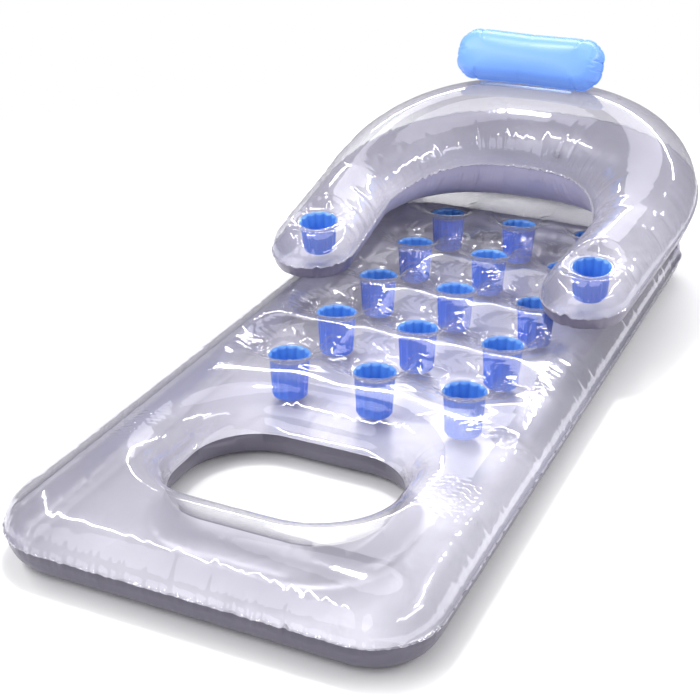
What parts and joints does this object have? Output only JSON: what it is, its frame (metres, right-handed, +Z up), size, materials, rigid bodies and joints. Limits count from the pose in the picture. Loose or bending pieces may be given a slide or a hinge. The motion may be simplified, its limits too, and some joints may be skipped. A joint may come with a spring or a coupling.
{
  "type": "inflatable pool lounge",
  "caption": "Inflatable pool lounge with a pocketed mattress, a leg opening, a U-shaped rest with cup holders for the arms and back, and a pillow.",
  "frame": {"origin": "on the floor, under the middle of the box round the whole lounge", "axes": "+Y from the leg opening towards the head end, +Z up, +X to the sitter's left"},
  "size_m": [0.7488, 1.6747, 0.4588],
  "materials": {
    "clear_film": "glossy clear film with a faint lilac tint",
    "under_film": "smooth grey-violet film",
    "blue_film": "glossy formed blue film",
    "pillow_film": "glossy light blue film",
    "valve_plastic": "soft clear plastic"
  },
  "bodies": {
    "lounge": {"cup_holder_left": "blue_film", "cup_holder_right": "blue_film", "mattress_bottom_film": "under_film", "mattress_top_film": "clear_film", "mattress_valve_flange": "valve_plastic", "pillow_web": "pillow_film", "pocket_cup_1_left": "blue_film", "pocket_cup_1_middle": "blue_film", "pocket_cup_1_right": "blue_film", "pocket_cup_2_left": "blue_film", "pocket_cup_2_middle": "blue_film", "pocket_cup_2_right": "blue_film", "pocket_cup_3_left": "blue_film", "pocket_cup_3_middle": "blue_film", "pocket_cup_3_right": "blue_film", "pocket_cup_4_left": "blue_film", "pocket_cup_4_middle": "blue_film", "pocket_cup_4_right": "blue_film", "pocket_cup_5_left": "blue_film", "pocket_cup_5_middle": "blue_film", "pocket_cup_5_right": "blue_film", "rest_bottom_film": "under_film", "rest_top_film": "clear_film", "rest_valve_flange": "valve_plastic"},
    "pillow": {"pillow_back_film": "pillow_film", "pillow_front_film": "pillow_film", "pillow_valve_flange": "valve_plastic"},
    "mattress_flap": {"mattress_valve_flap": "valve_plastic"},
    "mattress_neck": {"mattress_valve_neck": "valve_plastic"},
    "mattress_stopper": {"mattress_valve_stopper": "valve_plastic"},
    "pillow_flap": {"pillow_valve_flap": "valve_plastic"},
    "pillow_neck": {"pillow_valve_neck": "valve_plastic"},
    "pillow_stopper": {"pillow_valve_stopper": "valve_plastic"},
    "rest_flap": {"rest_valve_flap": "valve_plastic"},
    "rest_neck": {"rest_valve_neck": "valve_plastic"},
    "rest_stopper": {"rest_valve_stopper": "valve_plastic"}
  },
  "joints": [
    {"name": "pillow_fold", "type": "hinge", "parent": "lounge", "child": "pillow", "pos_m": [-0.04, 0.66124, 0.35747], "axis": [1, 0, 0], "range_deg": [0, 72]},
    {"name": "mattress_valve_push", "type": "slide", "parent": "lounge", "child": "mattress_neck", "axis": [0, 0.9271, 0.3748], "range_m": [0, 0.01]},
    {"name": "mattress_valve_open", "type": "hinge", "parent": "mattress_neck", "child": "mattress_stopper", "pos_m": [0.1915, 0.70415, 0.08465], "axis": [0, -0.3748, 0.9271], "range_deg": [0, 150]},
    {"name": "mattress_valve_flap", "type": "hinge", "parent": "mattress_neck", "child": "mattress_flap", "pos_m": [0.195, 0.68806, 0.07815], "axis": [0, 0.3748, -0.9271], "range_deg": [0, 55], "stiffness_Nm_per_rad": 0.0005},
    {"name": "rest_valve_push", "type": "slide", "parent": "lounge", "child": "rest_neck", "axis": [0, 0.7658, -0.643], "range_m": [0, 0.01]},
    {"name": "rest_valve_open", "type": "hinge", "parent": "rest_neck", "child": "rest_stopper", "pos_m": [-0.0085, 0.81133, 0.16337], "axis": [0, 0.643, 0.7658], "range_deg": [0, 150]},
    {"name": "rest_valve_flap", "type": "hinge", "parent": "rest_neck", "child": "rest_flap", "pos_m": [-0.005, 0.79805, 0.17452], "axis": [0, -0.643, -0.7658], "range_deg": [0, 55], "stiffness_Nm_per_rad": 0.0005},
    {"name": "pillow_valve_push", "type": "slide", "parent": "pillow", "child": "pillow_neck", "axis": [0, 0.9135, -0.4067], "range_m": [0, 0.01]},
    {"name": "pillow_valve_open", "type": "hinge", "parent": "pillow_neck", "child": "pillow_stopper", "pos_m": [-0.1335, 0.72725, 0.38894], "axis": [0, 0.4067, 0.9135], "range_deg": [0, 150]},
    {"name": "pillow_valve_flap", "type": "hinge", "parent": "pillow_neck", "child": "pillow_flap", "pos_m": [-0.13, 0.71139, 0.396], "axis": [0, -0.4067, -0.9135], "range_deg": [0, 55], "stiffness_Nm_per_rad": 0.0005}
  ]
}
